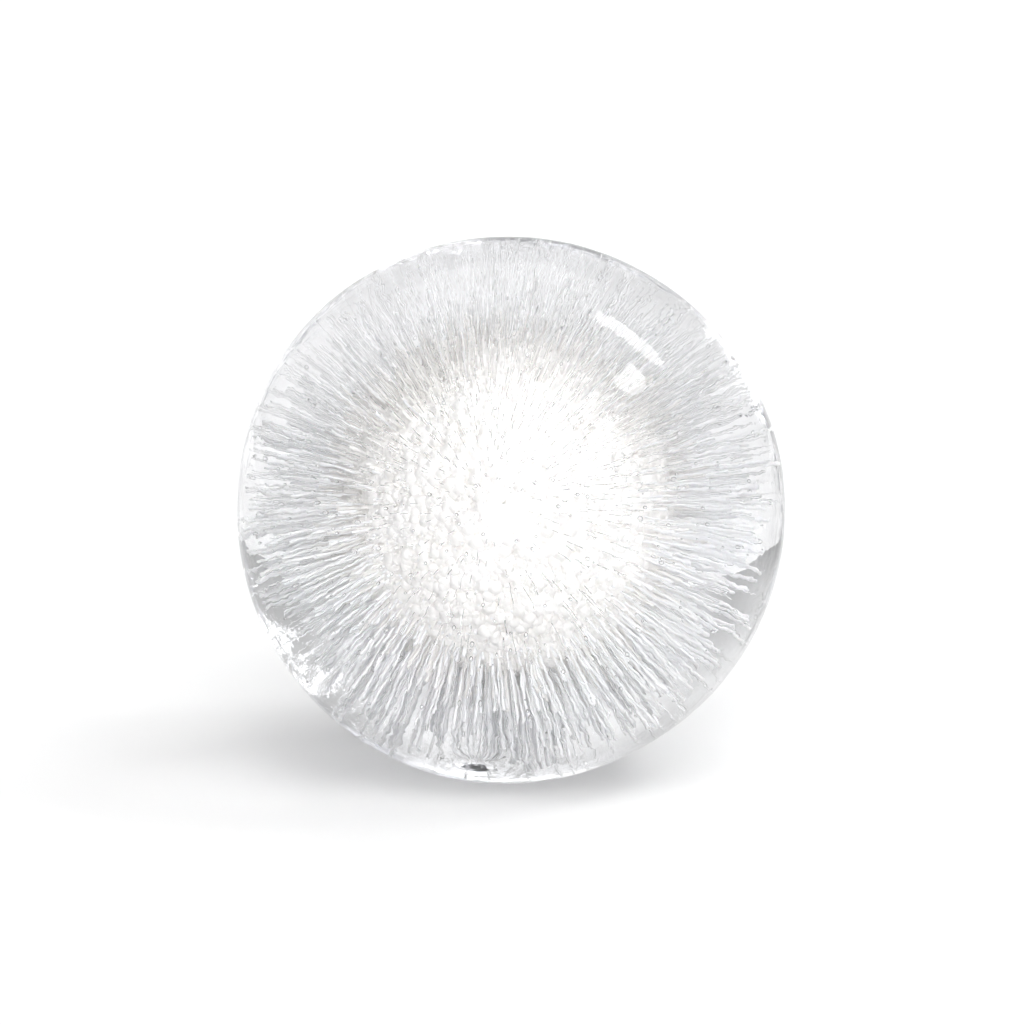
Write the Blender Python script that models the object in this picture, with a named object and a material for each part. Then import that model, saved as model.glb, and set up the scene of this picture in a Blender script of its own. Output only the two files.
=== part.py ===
"""An ice sphere: one ball of moulded ice with a burst of needle bubbles inside.

It is a little out of round from melting, and stands on the flat foot it has melted.

Run it with: blender --background --python part.py
Metres, +Z up. The origin is the middle of the foot, where the ball touches what it stands on.
"""

import math
import random

import bmesh
import bpy
from mathutils import Matrix, Vector

# Driving dimensions.
BALL_DIAMETER = 0.060
FOOT_DIAMETER = 0.011
FACET_LEVEL = 5  # the icosphere's subdivisions: 5 gives facets about 2.2 mm across

# Where melting has left the ball out of round: azimuth, elevation and spread in degrees, and the rise
# in metres, which is negative where the ice has melted further. Azimuth 0 is +X and 90 is +Y.
MELT_LOBES = (
    (180.0, 45.0, 30.0, 0.00030),
    (0.0, -62.0, 26.0, -0.00036),
    (180.0, -70.0, 22.0, 0.00022),
    (-8.0, 5.0, 24.0, 0.00012),
    (-95.0, 20.0, 32.0, -0.00012),
    (-60.0, -25.0, 28.0, 0.00010),
    (60.0, 35.0, 36.0, -0.00014),
    (120.0, -10.0, 34.0, 0.00014),
    (150.0, -50.0, 28.0, -0.00016),
    (-140.0, -15.0, 30.0, 0.00010),
)

# A shallow ripple over the whole skin, as a melting surface has.
RIPPLE_HEIGHT = 0.00004
RIPPLE_TURNS = (9.0, 7.0, 8.0)  # how fast it waves along X, Y and Z, in radians over one radius

# The needle bubbles all point at the heart, the last place to freeze. They are one hollow: a small round
# heart with a three-sided needle on each of its facets. One needle runs down to the foot and is open there.
HEART_OFFSET = Vector((-0.0018, 0.0006, 0.0006))  # from the ball's centre
HEART_DIAMETER = 0.0044
HEART_LEVEL = 3  # the icosphere's subdivisions: 3 gives 320 needles
NEEDLE_REACH = (0.54, 0.76)  # where the needles end, as shares of the ball's radius
NEEDLE_FLARE = 1.15  # how much wider a needle is at its outer end
NEEDLE_TIP = 0.0006  # the length of the pointed tip
NEEDLE_SEED = 3

# The edge round the foot turns about 11 degrees, and neighbouring facets turn about 4.
SHARP_ANGLE = math.radians(8)

ICE_COLOUR = (0.90, 0.94, 0.96, 1.0)
ICE_ROUGHNESS = 0.03
ICE_IOR = 1.31

BALL_RADIUS = BALL_DIAMETER / 2
FOOT_RADIUS = FOOT_DIAMETER / 2
FOOT_ANGLE = math.degrees(math.asin(FOOT_RADIUS / BALL_RADIUS))  # at the centre, from the axis to the foot's edge


def clear_scene():
    for old in list(bpy.data.objects):
        bpy.data.objects.remove(old)


def direction(azimuth, elevation):
    """The unit vector at these angles in degrees."""
    a, e = math.radians(azimuth), math.radians(elevation)
    return Vector((math.cos(a) * math.cos(e), math.sin(a) * math.cos(e), math.sin(e)))


LOBES = [(direction(a, e), math.radians(spread), rise) for a, e, spread, rise in MELT_LOBES]


def melted_radius(way):
    """How far the skin is from the ball's centre in this direction."""
    lobes = sum(rise * math.exp(-((way.angle(middle) / spread) ** 2)) for middle, spread, rise in LOBES)
    ripple = math.prod(math.cos(turns * part) for turns, part in zip(RIPPLE_TURNS, way))
    return BALL_RADIUS + lobes + RIPPLE_HEIGHT * ripple


def centre_height():
    """How high the centre stands when the foot has melted to its size, on average round its edge."""
    edge = [melted_radius(direction(azimuth, FOOT_ANGLE - 90)) for azimuth in range(0, 360, 15)]
    return sum(edge) / len(edge) * math.cos(math.radians(FOOT_ANGLE))


def melted_ball():
    """The ball before its foot is cut: an icosphere with its corners moved in or out."""
    shape = bmesh.new()
    bmesh.ops.create_icosphere(shape, subdivisions=FACET_LEVEL, radius=BALL_RADIUS)
    for corner in shape.verts:
        way = corner.co.normalized()
        corner.co = way * melted_radius(way)
    bmesh.ops.transform(shape, matrix=Matrix.Translation((0, 0, centre_height())), verts=shape.verts)
    return shape


def cut_foot(shape):
    """Cuts the ball off flat at the height of the surface it stands on, and gives the edges of the cut."""
    everything = shape.verts[:] + shape.edges[:] + shape.faces[:]
    cut = bmesh.ops.bisect_plane(
        shape, geom=everything, plane_co=(0, 0, 0), plane_no=(0, 0, 1), clear_inner=True
    )
    return [part for part in cut["geom_cut"] if isinstance(part, bmesh.types.BMEdge)]


def needle_end(way, share):
    """How far from the heart a needle in this direction meets the sphere of this share of the ball's radius."""
    along = way.dot(HEART_OFFSET)
    return math.sqrt(along**2 - HEART_OFFSET.length_squared + (share * BALL_RADIUS) ** 2) - along


def add_walls(shape, inner, outer):
    """The sides of a needle, from its ring of corners at the heart to the one further out."""
    for here in range(len(inner)):
        beside = (here + 1) % len(inner)
        shape.faces.new((inner[here], inner[beside], outer[beside], outer[here]))


def add_needle(shape, root, heart, reach):
    """A closed needle on the root, which is a ring of corners of the heart."""
    middle = sum((corner.co for corner in root), Vector()) / len(root)
    way = (middle - heart).normalized()
    shoulder = heart + way * (needle_end(way, reach) - NEEDLE_TIP)
    outer = [shape.verts.new(shoulder + (corner.co - middle) * NEEDLE_FLARE) for corner in root]
    add_walls(shape, root, outer)
    tip = shape.verts.new(shoulder + way * NEEDLE_TIP)
    for here in range(len(outer)):
        shape.faces.new((outer[here], outer[(here + 1) % len(outer)], tip))


def add_open_needle(shape, root):
    """The needle that runs straight down to the foot. Gives the edges of its open end."""
    outer = [shape.verts.new((corner.co.x, corner.co.y, 0)) for corner in root]
    add_walls(shape, root, outer)
    return [edge for edge in shape.edges if edge.verts[0] in outer and edge.verts[1] in outer]


def add_burst(shape):
    """Adds the hollow of all the needle bubbles. Gives the edges of its open end at the foot."""
    heart = Vector((0, 0, centre_height())) + HEART_OFFSET
    made = bmesh.ops.create_icosphere(shape, subdivisions=HEART_LEVEL, radius=HEART_DIAMETER / 2)
    facets = list(dict.fromkeys(facet for corner in made["verts"] for facet in corner.link_faces))
    lowest = min(facets, key=lambda facet: facet.calc_center_median().z)
    upright = lowest.calc_center_median().rotation_difference(Vector((0, 0, -1))).to_matrix().to_4x4()
    bmesh.ops.transform(shape, matrix=Matrix.Translation(heart) @ upright, verts=made["verts"])
    roots = [(tuple(facet.verts), facet is lowest) for facet in facets]
    bmesh.ops.delete(shape, geom=facets, context="FACES_ONLY")
    chance = random.Random(NEEDLE_SEED)
    open_end = []
    for root, is_lowest in roots:
        if is_lowest:
            open_end = add_open_needle(shape, root)
        else:
            add_needle(shape, root, heart, chance.uniform(*NEEDLE_REACH))
    return open_end


def build_ball(collection):
    """The ball of ice as one closed body: the skin, the foot, and the hollow of the bubbles."""
    shape = melted_ball()
    rim = cut_foot(shape)
    open_end = add_burst(shape)
    bmesh.ops.triangle_fill(shape, edges=rim + open_end, normal=(0, 0, -1), use_beauty=True)
    bmesh.ops.recalc_face_normals(shape, faces=shape.faces)
    ball = bpy.data.objects.new("ice_sphere", bpy.data.meshes.new("ice_sphere"))
    shape.to_mesh(ball.data)
    shape.free()
    collection.objects.link(ball)
    return ball


def shade_smooth(ball):
    """Smooth all over, with crisp edges round the foot and on the needles."""
    ball.data.shade_smooth()
    ball.data.set_sharp_from_angle(angle=SHARP_ANGLE)


def ice_material():
    ice = bpy.data.materials.new("clear_ice")
    ice.use_nodes = True
    shader = ice.node_tree.nodes["Principled BSDF"]
    shader.inputs["Base Color"].default_value = ICE_COLOUR
    shader.inputs["Metallic"].default_value = 0.0
    shader.inputs["Roughness"].default_value = ICE_ROUGHNESS
    shader.inputs["IOR"].default_value = ICE_IOR
    shader.inputs["Transmission Weight"].default_value = 1.0
    return ice


def main():
    clear_scene()
    collection = bpy.data.collections.new("ice_sphere")
    bpy.context.scene.collection.children.link(collection)
    ball = build_ball(collection)
    shade_smooth(ball)
    ball.data.materials.append(ice_material())
    bpy.context.view_layer.update()
    print("ice_sphere in mm:", [round(side * 1000, 2) for side in ball.dimensions])


main()
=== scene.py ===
# %% [markdown]
# # A ball of ice with a burst of bubbles inside
#
# Ice for drinks is often frozen in a round mould. It freezes from the skin inwards, and pushes the air that the
# water held ahead of it. The skin freezes slowly and stays clear. Further in there is more air than the water can
# keep, so it comes out as long thin bubbles, which all run towards the last place to freeze. This lesson models
# the clear ball, the bubbles and the light that makes them show.

import math

import bpy
import numpy as np
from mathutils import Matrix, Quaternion, Vector, noise


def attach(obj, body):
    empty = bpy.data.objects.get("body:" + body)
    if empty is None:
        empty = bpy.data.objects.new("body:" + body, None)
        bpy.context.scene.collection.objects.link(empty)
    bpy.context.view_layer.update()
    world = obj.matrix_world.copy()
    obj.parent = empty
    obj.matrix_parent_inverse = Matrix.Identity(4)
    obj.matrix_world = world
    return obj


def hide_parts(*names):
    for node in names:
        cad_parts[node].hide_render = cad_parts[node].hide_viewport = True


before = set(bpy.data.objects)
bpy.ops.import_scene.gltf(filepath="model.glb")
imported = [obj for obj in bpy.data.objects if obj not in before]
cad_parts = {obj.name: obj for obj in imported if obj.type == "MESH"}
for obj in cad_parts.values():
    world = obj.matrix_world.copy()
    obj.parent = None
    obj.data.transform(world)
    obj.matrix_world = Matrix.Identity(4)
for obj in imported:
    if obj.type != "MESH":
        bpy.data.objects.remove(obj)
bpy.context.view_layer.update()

# %% [markdown]
# The ball's few driving sizes come first, and every other place is worked out from them. Melting has left the
# ball a little out of round, with broad rises and hollows and a fine ripple, and with a small flat foot where it
# stands. The centre is as high as that foot lets it be.

# %% Sizes and the skin's shape
BALL_RADIUS = 0.030
FOOT_RADIUS = 0.0055
FOOT_ANGLE = math.degrees(math.asin(FOOT_RADIUS / BALL_RADIUS))  # from the axis to the foot's edge

MELT_LOBES = (
    # azimuth, elevation and spread in degrees, and the rise in metres
    (180.0, 45.0, 30.0, 0.00030),
    (0.0, -62.0, 26.0, -0.00036),
    (180.0, -70.0, 22.0, 0.00022),
    (-8.0, 5.0, 24.0, 0.00012),
    (-95.0, 20.0, 32.0, -0.00012),
    (-60.0, -25.0, 28.0, 0.00010),
    (60.0, 35.0, 36.0, -0.00014),
    (120.0, -10.0, 34.0, 0.00014),
    (150.0, -50.0, 28.0, -0.00016),
    (-140.0, -15.0, 30.0, 0.00010),
)
SWELL_HEIGHT = 0.00004
SWELL_TURNS = (9.0, 7.0, 8.0)  # how fast it waves along X, Y and Z, in radians over one radius


def direction(azimuth, elevation):
    """The unit vector at these angles in degrees. Azimuth 0 is +X and 90 is +Y."""
    a, e = math.radians(azimuth), math.radians(elevation)
    return Vector((math.cos(a) * math.cos(e), math.sin(a) * math.cos(e), math.sin(e)))


LOBES = [(direction(a, e), math.radians(spread), rise) for a, e, spread, rise in MELT_LOBES]


def melted_radius(way):
    """How far the skin is from the ball's centre in this direction."""
    lobes = sum(rise * math.exp(-((way.angle(middle) / spread) ** 2)) for middle, spread, rise in LOBES)
    swell = math.prod(math.cos(turns * part) for turns, part in zip(SWELL_TURNS, way))
    return BALL_RADIUS + lobes + SWELL_HEIGHT * swell


foot_edge = [melted_radius(direction(azimuth, FOOT_ANGLE - 90)) for azimuth in range(0, 360, 15)]
CENTRE = Vector((0, 0, sum(foot_edge) / len(foot_edge) * math.cos(math.radians(FOOT_ANGLE))))
HEART = CENTRE + Vector((-0.0018, 0.0006, 0.0006))  # the last place to freeze, where all the bubbles point
print(f"the ball's centre is {1000 * CENTRE.z:.2f} mm up")

# %% [markdown]
# Operators act on whatever is selected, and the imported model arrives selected. So each new piece starts with
# nothing selected, and ends as a finished object whose place is in its mesh.


# %% Helper for modelling
def start_clean():
    """Leaves edit mode and selects nothing."""
    if bpy.context.object and bpy.context.object.mode != "OBJECT":
        bpy.ops.object.mode_set(mode="OBJECT")
    bpy.ops.object.select_all(action="DESELECT")


start_clean()
print("selected now:", len(bpy.context.selected_objects))

# %% [markdown]
# ## The camera
#
# A long lens from a low seat keeps the ball round and lets its shadow lie flat beside it. The lens is aimed level
# with the ball's centre and then tipped down, so the camera is moved back by as much as the ball needs to fill a
# little over half of the frame.

# %% Camera
LENS = 120.0
SENSOR = 36.0
VIEW_HEIGHT = math.radians(9)  # how far above level the camera looks from
BALL_SHARE = 0.5348  # the ball's radius over half of the frame's width
AIM_SIDE, AIM_UP = 1.3 / 1024, -1.6 / 1024  # a nudge of the picture, as shares of its width

camera_data = bpy.data.cameras.new("camera")
camera_data.lens, camera_data.sensor_width = LENS, SENSOR
camera_data.shift_x, camera_data.shift_y = AIM_SIDE, AIM_UP
camera = bpy.data.objects.new("camera", camera_data)
bpy.context.scene.collection.objects.link(camera)
bpy.context.scene.camera = camera
half_view = SENSOR / 2 / LENS
camera_distance = BALL_RADIUS / math.sin(math.atan(BALL_SHARE * half_view))
camera.location = CENTRE + camera_distance * direction(-90, math.degrees(VIEW_HEIGHT))
camera.rotation_euler = (math.pi / 2 - VIEW_HEIGHT, 0, 0)
print(f"the camera is {1000 * camera_distance:.0f} mm from the ball's centre")

# %% [markdown]
# ## The clear ball
#
# The ball has to be smooth, because clear ice shows every facet twice: once where the light comes in, and once
# where it goes out. An icosphere has even triangles and no poles, so it bends light evenly all over. Each corner
# is then moved to where melting has left the skin: a few broad hollows and rises, a fine ripple, and low on the
# front a small pit, which bends the light like a tiny lens.

# %% Model the ball
FINENESS = 7  # 7 gives about 82,000 triangles, half a millimetre across
RIPPLE_HEIGHT = 0.000012
RIPPLE_LENGTH = 0.0042  # from one crest of the fine ripple to the next
PIT_WAY = direction(-102.6, -54.8)
PIT_SPREAD = math.radians(3.6)
PIT_DEPTH = 0.00032

start_clean()
bpy.ops.mesh.primitive_ico_sphere_add(subdivisions=FINENESS, radius=BALL_RADIUS)
ball = bpy.context.object
ball.name = ball.data.name = "clear_ice"
for corner in ball.data.vertices:
    way = corner.co.normalized()
    ripple = noise.noise(way * (BALL_RADIUS / RIPPLE_LENGTH))
    pit = math.exp(-((way.angle(PIT_WAY) / PIT_SPREAD) ** 2))
    corner.co = CENTRE + way * (melted_radius(way) + RIPPLE_HEIGHT * ripple - PIT_DEPTH * pit)
print("the ball has", len(ball.data.polygons), "triangles before its foot is cut")

# %% [markdown]
# The foot is cut level with the surface that the ball stands on. Bisect cuts through the triangles and fills the
# hole in one step. Its threshold is made small, because the usual one lets corners just under the cut stay.

# %% Cut the foot
bpy.ops.object.mode_set(mode="EDIT")
bpy.ops.mesh.select_all(action="SELECT")
bpy.ops.mesh.bisect(plane_co=(0, 0, 0), plane_no=(0, 0, 1), clear_inner=True, use_fill=True, threshold=1e-7)
bpy.ops.mesh.select_all(action="SELECT")
bpy.ops.mesh.normals_make_consistent(inside=False)
bpy.ops.object.mode_set(mode="OBJECT")
ball.data.shade_smooth()
ball.data.set_sharp_from_angle(angle=math.radians(8))
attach(ball, "root")
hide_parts("ice_sphere")
foot_corners = [corner.co for corner in ball.data.vertices if abs(corner.co.z) < 1e-6]
print(f"the foot is {2000 * max(co.xy.length for co in foot_corners):.1f} mm across")

# %% [markdown]
# ## One bubble
#
# A needle bubble is a long finger: a fine inner end, a shaft that widens outwards, and a round outer end. It is
# modelled once, by hand: a small ring is extruded step by step along its length, each new ring is resized, and
# both ends are drawn together to a point. Thousands of copies follow, so it has only a few dozen faces. The short
# ones that crowd the heart show only their ends, so their finger has fewer faces still.

# %% Model the fingers
# How far along the finger each ring is, and its radius as a share of the finger's.
# An end ring is set back by a share of the radius instead, so the end stays round however long the finger is.
COARSE_RINGS = ((0.0, 0.45), (0.16, 0.62), (0.4, 0.68), (0.7, 0.76), (0.88, 0.9), (1.0, 1.0))
THREAD_RINGS = ((0.0, 0.5), (0.45, 0.85), (1.0, 0.95))
ROUND_END = ((0.5, 0.8), (0.85, 0.42), (1.0, 0.0))  # set out past the last ring, and the radius there
BLUNT_END = ((0.6, 0.7), (1.0, 0.0))
FINE_END = ((0.35, 0.25), (0.6, 0.0))  # set out before the first ring, in the same way
POINTED_END = ((0.6, 0.0),)
SIDES = 5


def extrude_ring(height, size_ratio):
    """Extrudes the selected ring up its axis and resizes the new one."""
    bpy.ops.mesh.extrude_region_move(TRANSFORM_OT_translate={"value": (0, 0, height)})
    bpy.ops.transform.resize(value=(size_ratio, size_ratio, 1), center_override=(0, 0, 0))


def in_order(corners, faces):
    """Numbers the corners ring by ring and sorts the faces, because merging leaves them in a chance order."""
    order = np.lexsort((np.arctan2(corners[:, 1], corners[:, 0]), np.rint(corners[:, 2])))
    number = np.argsort(order).tolist()
    faces = [[number[corner] for corner in face] for face in faces]
    firsts = [face.index(min(face)) for face in faces]
    return corners[order], sorted(tuple(face[first:] + face[:first]) for face, first in zip(faces, firsts))


def model_finger(inner_end, rings, outer_end):
    """One finger, one unit in radius, with its rings a unit apart so that each can be placed by its number.
    Gives its corners, its faces, and for each corner the share of the length and the radii past the end."""
    profile = [radius for _, radius in reversed(inner_end[:-1])]
    profile += [radius for _, radius in rings]
    profile += [radius for _, radius in outer_end[:-1]]
    start_clean()
    bpy.ops.mesh.primitive_circle_add(vertices=SIDES, radius=profile[0], fill_type="NOTHING")
    finger = bpy.context.object
    bpy.ops.object.mode_set(mode="EDIT")
    bpy.ops.mesh.select_all(action="SELECT")
    for wide, narrow in zip(profile, profile[1:]):
        extrude_ring(1.0, narrow / wide)
    extrude_ring(1.0, 1.0)
    bpy.ops.mesh.merge(type="CENTER")
    bpy.ops.object.mode_set(mode="OBJECT")
    for corner in finger.data.vertices:
        corner.select = abs(corner.co.z) < 1e-6
    bpy.ops.object.mode_set(mode="EDIT")
    extrude_ring(-1.0, 1.0)
    bpy.ops.mesh.merge(type="CENTER")
    bpy.ops.mesh.select_all(action="SELECT")
    bpy.ops.mesh.normals_make_consistent(inside=False)
    bpy.ops.object.mode_set(mode="OBJECT")
    corners = np.array([corner.co for corner in finger.data.vertices])
    faces = [tuple(face.vertices) for face in finger.data.polygons]
    bpy.data.objects.remove(finger)
    corners, faces = in_order(corners, faces)
    ring = np.rint(corners[:, 2]).astype(int) + 1
    shares = [0.0] * len(inner_end) + [share for share, _ in rings] + [1.0] * len(outer_end)
    past = [-out for out, _ in reversed(inner_end)] + [0.0] * len(rings) + [out for out, _ in outer_end]
    print("one finger has", len(faces), "faces")
    return corners, faces, np.array(shares)[ring], np.array(past)[ring]


coarse_finger = model_finger(FINE_END, COARSE_RINGS, ROUND_END)
thread_finger = model_finger(POINTED_END, THREAD_RINGS, BLUNT_END)

# %% [markdown]
# ## Which way the bubbles point
#
# The fingers fan out from the heart in every direction. Laid out on a spiral, the directions are evenly spread,
# and a random nudge takes the pattern away. Random directions alone would leave bare places and clumps. The heart
# lies a little off the ball's centre, so how far a finger can run depends on its direction.


# %% Directions
def spread_directions(count, nudge, random):
    """Evenly spread unit vectors, on a spiral from pole to pole, each nudged by a share of its spacing."""
    step = np.arange(count) + 0.5
    height = 1 - 2 * step / count
    turn = step * math.pi * (3 - math.sqrt(5))
    level = np.sqrt(1 - height**2)
    ways = np.stack([np.cos(turn) * level, np.sin(turn) * level, height], 1)
    ways += random.normal(0, nudge * math.sqrt(4 / count), ways.shape)
    return ways / np.linalg.norm(ways, axis=1)[:, None]


def out_to(ways, share):
    """How far each way from the heart is the sphere of this share of the ball's radius."""
    offset = np.array(HEART - CENTRE)
    along = ways @ offset
    return np.sqrt(along**2 - offset @ offset + (share * BALL_RADIUS) ** 2) - along


def cross_axes(ways):
    """Two unit vectors across each way, at right angles to it and to each other."""
    helper = np.where(np.abs(ways[:, 2:]) < 0.9, [[0.0, 0.0, 1.0]], [[1.0, 0.0, 0.0]])
    across = np.cross(ways, helper)
    across /= np.linalg.norm(across, axis=1)[:, None]
    return across, np.cross(ways, across)


skin_far = out_to(np.array([[1.0, 0.0, 0.0], [-1.0, 0.0, 0.0]]), 1.0)
print("from the heart to the skin, right and left, in mm:", np.round(1000 * skin_far, 1).tolist())

# %% [markdown]
# All the copies of one kind are joined in one mesh, straight from an array of their corners. Thousands of separate
# objects would be slow to draw and a burden to hand on.


# %% Join the copies
def join_copies(name, corners, template_faces):
    """One mesh of all the copies of a template, from an array of their corners: copy by corner by axis."""
    copies, per_copy, _ = corners.shape
    faces = [[first + corner for corner in face] for first in range(0, copies * per_copy, per_copy)
             for face in template_faces]
    mesh = bpy.data.meshes.new(name)
    mesh.from_pydata(corners.reshape(-1, 3), [], faces)
    mesh.shade_smooth()
    piece = bpy.data.objects.new(name, mesh)
    bpy.context.scene.collection.objects.link(piece)
    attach(piece, "root")
    triangles = copies * sum(len(face) - 2 for face in template_faces)
    print(f"{name}: {copies} bubbles, {triangles} triangles")
    return piece


print("corners in one long finger and in one thread:", len(coarse_finger[0]), "and", len(thread_finger[0]))

# %% [markdown]
# ## A burst of bubbles
#
# Each copy is placed by arithmetic on its corners: a ring goes to its share of the way along, the end rings keep
# their distance from the last one, and a slow sideways wave keeps the shaft from being ruler-straight. Neighbours
# end at much the same depth, as the ice closed in on them together. Towards the front the fingers stay short, so
# that the eye looks straight down on the white heart.

# %% Grow a burst
NEEDLE_NUDGE = 0.5
LEVEL_MIDDLE, LEVEL_WIDTH = 0.12, 0.5  # where the kind of bubble changes from below to above, as heights of a way
PATCH_SCALE, PATCH_GAIN = 2.2, 1.6
PATCH_PART, OWN_PART = 0.55, 0.6  # how much of a finger's end is shared with its neighbours, and how much its own
SHORTEST = 0.0016
SWAY_WAVES = np.array([3, 6, 11])  # radians along one finger
SWAY_CALM = np.array([1, 2, 3.5])  # the faster a wave, the smaller it is
FRONT_FROM, FRONT_FULL = 0.25, 0.62  # how squarely a way faces the front where fingers start to be short, and are


def patchy(ways, seed):
    """A slowly changing number from about -1 to 1 for each way, so that neighbours are alike."""
    offset = Vector((7.3 * seed, -3.1 * seed, 1.7 * seed))
    return np.array([noise.noise(PATCH_SCALE * Vector(way) + offset) for way in ways]) * PATCH_GAIN


def toward_front(ways):
    """0 for the ways across or to the back, rising to 1 for those within about 50 degrees of the front."""
    facing = np.clip((-ways[:, 1] - FRONT_FROM) / (FRONT_FULL - FRONT_FROM), 0, 1)
    return facing**2 * (3 - 2 * facing)


def grow_bubbles(name, template, count, inner, outer, front, width, wander, seed,
                 share_below=1.0, share_above=1.0):
    """A burst of fingers. inner and outer are ranges of where they start and end, and front is the range of where
    those at the front end, all as shares of the ball's radius. width is a range of diameters in metres, and
    wander is how far they stray, as a share of length. Of those that point down or up, only a share is kept."""
    finger_corners, finger_faces, finger_share, finger_past = template
    random = np.random.default_rng(seed)
    ways = spread_directions(count, NEEDLE_NUDGE, random)
    height = np.clip(0.5 + (ways[:, 2] - LEVEL_MIDDLE) / LEVEL_WIDTH, 0, 1)
    ways = ways[random.random(count) < share_below + (share_above - share_below) * height]
    count = len(ways)
    patch = patchy(ways, seed)
    middle, reach = sum(outer) / 2, (outer[1] - outer[0]) / 2
    start = random.uniform(*inner, count) * BALL_RADIUS
    end = middle + reach * (PATCH_PART * patch + OWN_PART * random.uniform(-1, 1, count))
    end = out_to(ways, end + (random.uniform(*front, count) - end) * toward_front(ways))
    start = np.minimum(start, end - SHORTEST)
    radius = np.exp(random.uniform(math.log(width[0]), math.log(width[1]), count)) / 2
    length = end - start
    phase = random.uniform(0, 2 * math.pi, (count, 3, 2))
    sway = random.normal(0, wander, (count, 3, 2)) * length[:, None, None] / SWAY_CALM[:, None]
    across, upright = cross_axes(ways)
    along = start[:, None] + length[:, None] * finger_share + radius[:, None] * finger_past
    share = (along - start[:, None]) / length[:, None]
    wave = np.sin(SWAY_WAVES[:, None, None, None] * share + phase.transpose(1, 2, 0)[..., None])
    shift = np.einsum("nka,kanc->nac", sway, wave)
    round_x = radius[:, None] * finger_corners[:, 0] + shift[:, 0]
    round_y = radius[:, None] * finger_corners[:, 1] + shift[:, 1]
    corners = np.array(HEART) + along[..., None] * ways[:, None, :]
    corners += round_x[..., None] * across[:, None, :] + round_y[..., None] * upright[:, None, :]
    return join_copies(name, corners, finger_faces)


evenly = spread_directions(2000, 0.0, np.random.default_rng(0))
print(f"{100 * toward_front(evenly).mean():.0f}% of the fingers are kept short, at the front")

# %% [markdown]
# The long fingers come in two kinds. The coarse ones are frosted inside and white, and fill mostly the lower half.
# The fine ones are clear, so they show only as thin lines, and fill mostly the upper half. The fine ones start
# outside the heart, because a clear tube that ran into it would show its dark inside.

# %% The long fingers
coarse = grow_bubbles("coarse_bubbles", coarse_finger, 3500, (0.36, 0.54), (0.52, 0.78), (0.43, 0.45),
                      (0.00022, 0.00038), 0.018, 3, share_below=0.95, share_above=0.10)
fine = grow_bubbles("fine_bubbles", coarse_finger, 3000, (0.46, 0.58), (0.58, 0.84), (0.52, 0.60),
                    (0.00009, 0.00024), 0.014, 4, share_below=0.2)

# %% [markdown]
# The heart is so full of air that it is white all through. It is packed from three kinds: threads that run in
# deep, short stubs that stand close together at its edge, and wide pebbles just behind the stubs, which close the
# last gaps. Nothing is smooth there: the eye sees thousands of small ends.

# %% The heart
heart = grow_bubbles("heart_threads", thread_finger, 2200, (0.10, 0.34), (0.42, 0.62), (0.44, 0.46),
                     (0.00020, 0.00038), 0.012, 5)
stubs = grow_bubbles("heart_stubs", thread_finger, 4900, (0.34, 0.41), (0.435, 0.465), (0.435, 0.455),
                     (0.00028, 0.00050), 0.008, 6)
cloud = grow_bubbles("heart_pebbles", thread_finger, 4900, (0.35, 0.38), (0.41, 0.45), (0.41, 0.44),
                     (0.00140, 0.00180), 0.008, 9)

# %% [markdown]
# ## Beads
#
# Where the air came out all at once it left round beads. They lie among the needles, drawn out a little towards
# the heart. One bead is a small icosphere, and each copy is stretched by its own amount.

# %% Beads
BEAD_SIZES = (0.00012, 0.00042)
BEAD_SHELL = (0.45, 0.80)  # how far out they lie, as shares of the ball's radius
BEAD_STRETCH = (1.0, 2.2)
BEAD_NUDGE = 0.8


def scatter_beads(name, count, seed):
    """Beads at random places in the shell that the needles fill."""
    start_clean()
    bpy.ops.mesh.primitive_ico_sphere_add(subdivisions=2, radius=1.0)
    bead = bpy.context.object
    bead_corners = np.array([corner.co for corner in bead.data.vertices])
    bead_faces = [tuple(face.vertices) for face in bead.data.polygons]
    bpy.data.objects.remove(bead)
    random = np.random.default_rng(seed)
    ways = spread_directions(count, BEAD_NUDGE, random)
    radius = np.exp(random.uniform(*np.log(BEAD_SIZES), count)) / 2
    away = out_to(ways, random.uniform(*BEAD_SHELL, count))
    stretch = random.uniform(*BEAD_STRETCH, count)
    across, upright = cross_axes(ways)
    axes = np.stack([across * radius[:, None], upright * radius[:, None], ways * (radius * stretch)[:, None]], 1)
    corners = np.array(HEART) + (ways * away[:, None])[:, None, :] + bead_corners @ axes
    return join_copies(name, corners, bead_faces)


beads = scatter_beads("bead_bubbles", 900, 8)

# %% [markdown]
# ## A pattern that all the materials share
#
# Nothing frozen is quite even. One slow pattern serves for all of it: it makes the shade of the white bubbles
# drift, and it raises the faint waves on the clear surfaces. It is a group of nodes, built once, and each
# material places it with its own scale. It reads places on the object, so it stays put when the ball is moved.

# %% The shared pattern
drift_group = bpy.data.node_groups.new("slow_drift", "ShaderNodeTree")
for socket_name, side in (("Scale", "INPUT"), ("Detail", "INPUT"), ("Level", "OUTPUT")):
    drift_group.interface.new_socket(socket_name, in_out=side, socket_type="NodeSocketFloat")
group_in, group_out, place, mapping, pattern = (
    drift_group.nodes.new(kind)
    for kind in ("NodeGroupInput", "NodeGroupOutput", "ShaderNodeTexCoord", "ShaderNodeMapping",
                 "ShaderNodeTexNoise"))
drift_group.links.new(place.outputs["Object"], mapping.inputs["Vector"])
drift_group.links.new(mapping.outputs["Vector"], pattern.inputs["Vector"])
drift_group.links.new(group_in.outputs["Scale"], pattern.inputs["Scale"])
drift_group.links.new(group_in.outputs["Detail"], pattern.inputs["Detail"])
drift_group.links.new(pattern.outputs["Fac"], group_out.inputs["Level"])


def new_material(name):
    """A material with one Principled shader, and its node tree and shader."""
    material = bpy.data.materials.new(name)
    material.use_nodes = True
    return material, material.node_tree, material.node_tree.nodes["Principled BSDF"]


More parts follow.
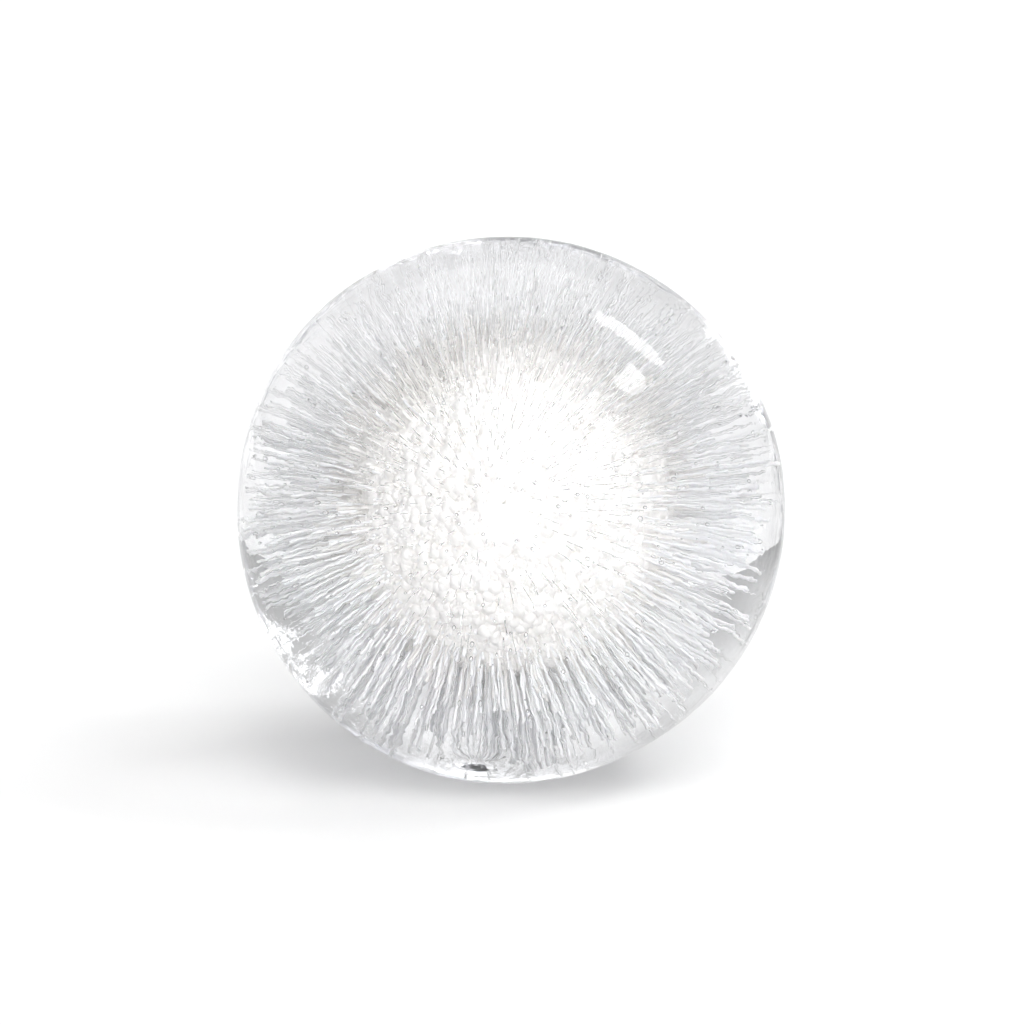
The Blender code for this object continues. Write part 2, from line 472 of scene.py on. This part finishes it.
def slow_drift(tree, scale, detail):
    """Places the shared pattern in a material, with this many waves to the metre."""
    node = tree.nodes.new("ShaderNodeGroup")
    node.node_tree = drift_group
    node.inputs["Scale"].default_value = scale
    node.inputs["Detail"].default_value = detail
    return node.outputs["Level"]


print("the shared pattern has", len(drift_group.nodes), "nodes")

# %% [markdown]
# ## Clear ice, and clear bubbles in it
#
# Clear ice has almost no colour. Its look is all in how it bends light: an index of refraction of 1.31, a wet
# skin that is mirror-smooth but never quite flat, and a trace of grey-blue in its depth. A clear bubble is the
# same step the other way, from ice into air, so its index is one over that of ice.

# %% Materials: clear ice and clear bubbles
ICE_IOR = 1.31
ICE_TINT = (0.877, 0.883, 0.910, 1.0)
ICE_DENSITY = 12.0
WAVE_STRENGTH = 0.12
WAVE_DETAIL = 2.0


def clear(name, ior, scale, height, pieces):
    """A see-through material with faint waves on its surface, this many to the metre and this high in metres."""
    material, tree, shader = new_material(name)
    shader.inputs["Base Color"].default_value = (1.0, 1.0, 1.0, 1.0)
    shader.inputs["Roughness"].default_value = 0.0
    shader.inputs["IOR"].default_value = ior
    shader.inputs["Transmission Weight"].default_value = 1.0
    bump = tree.nodes.new("ShaderNodeBump")
    bump.inputs["Strength"].default_value = WAVE_STRENGTH
    bump.inputs["Distance"].default_value = height
    tree.links.new(slow_drift(tree, scale, WAVE_DETAIL), bump.inputs["Height"])
    tree.links.new(bump.outputs["Normal"], shader.inputs["Normal"])
    for piece in pieces:
        piece.data.materials.append(material)
    print(f"{name}: index {ior:.3f}, on {len(pieces)} pieces")
    return tree


tree = clear("clear_ice_glass", ICE_IOR, 300.0, 0.0005, [ball])
absorb = tree.nodes.new("ShaderNodeVolumeAbsorption")
absorb.inputs["Color"].default_value = ICE_TINT
absorb.inputs["Density"].default_value = ICE_DENSITY
tree.links.new(absorb.outputs["Volume"], tree.nodes["Material Output"].inputs["Volume"])
clear("clear_bubble", 1 / ICE_IOR, 900.0, 0.00015, [fine, beads])

# %% [markdown]
# ## Frosted bubbles
#
# Inside the white bubbles the ice is rough with frost, and scatters the light whichever way it comes. So they are
# a dull white without any gloss. Where they are packed together, light goes from one to the next many times, and
# the faintest tint adds up: the long fingers are kept a neutral white, and the heart a slightly warm one.

# %% Materials: frosted bubbles
DRIFT_SCALE, DRIFT_DETAIL = 250.0, 1.0
DRIFT_STOPS = (0.35, 0.65)


def frost(name, dim, bright, pieces):
    """A dull white whose shade drifts between two close colours."""
    material, tree, shader = new_material(name)
    shades = tree.nodes.new("ShaderNodeValToRGB")
    for stop, position, colour in zip(shades.color_ramp.elements, DRIFT_STOPS, (dim, bright)):
        stop.position, stop.color = position, (*colour, 1.0)
    tree.links.new(slow_drift(tree, DRIFT_SCALE, DRIFT_DETAIL), shades.inputs["Fac"])
    tree.links.new(shades.outputs["Color"], shader.inputs["Base Color"])
    shader.inputs["Roughness"].default_value = 0.5
    shader.inputs["Specular IOR Level"].default_value = 0.0
    for piece in pieces:
        piece.data.materials.append(material)
    print(f"{name}: on {len(pieces)} pieces")


frost("frosted_bubble", (0.98, 0.985, 1.0), (1.0, 1.0, 1.0), [coarse])
frost("heart_frost", (0.96, 0.945, 0.926), (0.985, 0.973, 0.96), [heart, stubs, cloud])

# %% [markdown]
# ## The studio
#
# Clear things show only what is round them, so the room is as much a part of the look as the ice. The floor is a
# plain pale sheet, so wide that its edge is never seen from above.

# %% Floor
FLOOR_SIZE = 60
FLOOR_WHITE = 0.92

start_clean()
bpy.ops.mesh.primitive_grid_add(x_subdivisions=8, y_subdivisions=8, size=FLOOR_SIZE)
floor = bpy.context.object
floor.name = "floor"
floor_paint, tree, shader = new_material("floor_paint")
shader.inputs["Base Color"].default_value = (FLOOR_WHITE, FLOOR_WHITE, FLOOR_WHITE, 1.0)
shader.inputs["Roughness"].default_value = 1.0
shader.inputs["Specular IOR Level"].default_value = 0.0
floor.data.materials.append(floor_paint)
print(f"the floor is {FLOOR_SIZE} m wide")

# %% [markdown]
# All the light comes from the room itself, as if from very far away, so the floor is lit evenly however far it
# runs. A lamp close by would leave a bright place under it. The room is drawn by direction: each light is a
# pattern that is bright near one direction and dark elsewhere, and the lights are added up.


# %% Kinds of light
world = bpy.data.worlds.new("room")
bpy.context.scene.world = world
world.use_nodes = True
tree = world.node_tree
background = tree.nodes["Background"]
background.inputs["Color"].default_value = (1.0, 1.0, 1.0, 1.0)
looking = tree.nodes.new("ShaderNodeTexCoord").outputs["Generated"]
SOFTBOX_EDGE = (1.1, 0.9)  # where its light ends and where it is full, as shares of its half size
SOFTBOX_DEPTH = 0.3  # small enough that nothing shines on the far side of the room


def room_node(kind, operation, *values):
    """A Math or Vector Math node whose inputs are plain values or other nodes' outputs; gives its output."""
    node = tree.nodes.new(kind)
    node.operation = operation
    for socket, value in zip(node.inputs, values):
        if isinstance(value, bpy.types.NodeSocket):
            tree.links.new(value, socket)
        else:
            socket.default_value = value
    return node.outputs["Value"]


def fade(value, none_at, full_at, strength):
    """Rises smoothly from 0 to the strength between the two values."""
    node = tree.nodes.new("ShaderNodeMapRange")
    node.interpolation_type = "SMOOTHSTEP"
    for name, number in (("From Min", none_at), ("From Max", full_at), ("To Max", strength)):
        node.inputs[name].default_value = number
    tree.links.new(value, node.inputs["Value"])
    return node.outputs["Result"]


def glow(azimuth, elevation, inner, outer, strength):
    """A round patch of light: full within inner degrees of a direction, gone at outer degrees."""
    level = room_node("ShaderNodeVectorMath", "DOT_PRODUCT", looking, direction(azimuth, elevation))
    return fade(level, math.cos(math.radians(outer)), math.cos(math.radians(inner)), strength)


def softbox(azimuth, elevation, width, height, roll, strength):
    """A rectangle of light with rounded corners, its sides in degrees, turned about its own middle."""
    way = direction(azimuth, elevation)
    turn = way.to_track_quat("Z", "Y") @ Quaternion((0, 0, 1), math.radians(roll))
    half_sides = [math.sin(math.radians(side / 2)) for side in (width, height)]
    place = tree.nodes.new("ShaderNodeMapping")
    place.vector_type = "TEXTURE"
    place.inputs["Location"].default_value = way
    place.inputs["Rotation"].default_value = turn.to_euler()
    place.inputs["Scale"].default_value = (*half_sides, SOFTBOX_DEPTH)
    tree.links.new(looking, place.inputs["Vector"])
    square = tree.nodes.new("ShaderNodeVectorMath")
    square.operation = "MULTIPLY"
    tree.links.new(place.outputs["Vector"], square.inputs[0])
    tree.links.new(place.outputs["Vector"], square.inputs[1])
    level = room_node("ShaderNodeVectorMath", "LENGTH", square.outputs["Vector"])
    return fade(level, *SOFTBOX_EDGE, strength)


print("the room starts with", len(tree.nodes), "nodes")

# %% [markdown]
# The glows behind the ball shine through its clear rim, and those in front light the bubbles. The sides stay dim,
# which draws the grey edge of the ball: clear things are often lit so, with dark boards at the sides. The four
# softboxes are mirrored in the wet skin: a long one and a small one at the upper right, a rounded one beside the
# heart, and a wide pale one across the top. The three on the right also throw the shadow to the left.

# %% Lights
ROOM_BASE = 0.06  # an even low light from everywhere
GLOWS = (
    # azimuth, elevation, inner and outer degrees, strength
    (60, 8, 8, 32, 0.44),
    (90, 8, 8, 32, 0.44),
    (120, 8, 8, 32, 0.44),
    (-90, 6, 4, 14, 18.5),
    (-90, 18, 4, 14, 1.45),
    (60, 36, 8, 30, 0.16),
    (90, 38, 8, 30, 0.24),
    (120, 36, 8, 30, 0.24),
    (-90, 42, 8, 24, 4.35),
    (-75, 27, 6, 18, 2.5),
    (-131, 28, 6, 18, 1.59),
    (-49, 65, 10, 26, 1.73),
)
SOFTBOXES = (
    # azimuth, elevation, width, height, roll, strength
    (-49, 31, 24, 12, 45, 8.0),
    (90, 65, 41, 41, 0, 0.82),
    (24, 52, 23, 7.5, 60, 9.0),
    (-7.4, 48.4, 14, 9, 0, 14.0),
)
total = ROOM_BASE
for light in [glow(*row) for row in GLOWS] + [softbox(*row) for row in SOFTBOXES]:
    total = room_node("ShaderNodeMath", "ADD", total, light)
tree.links.new(total, background.inputs["Strength"])
world.cycles.sampling_method = "NONE"  # all the lights are broad, so rays find them without help, and sooner
print(len(GLOWS), "glows and", len(SOFTBOXES), "softboxes")

# %% [markdown]
# Light that has gone into the ball is bent and thrown back many times before it comes out. Each pass counts as a
# bounce, so there have to be many, or the middle of the ball goes black.

# %% Rendering
CLEAR_BOUNCES = 32
DULL_BOUNCES = 12

scene = bpy.context.scene
scene.view_settings.view_transform = "Standard"
scene.cycles.max_bounces = scene.cycles.transmission_bounces = CLEAR_BOUNCES
scene.cycles.diffuse_bounces = scene.cycles.glossy_bounces = DULL_BOUNCES
print("bounces through clear things:", scene.cycles.transmission_bounces)
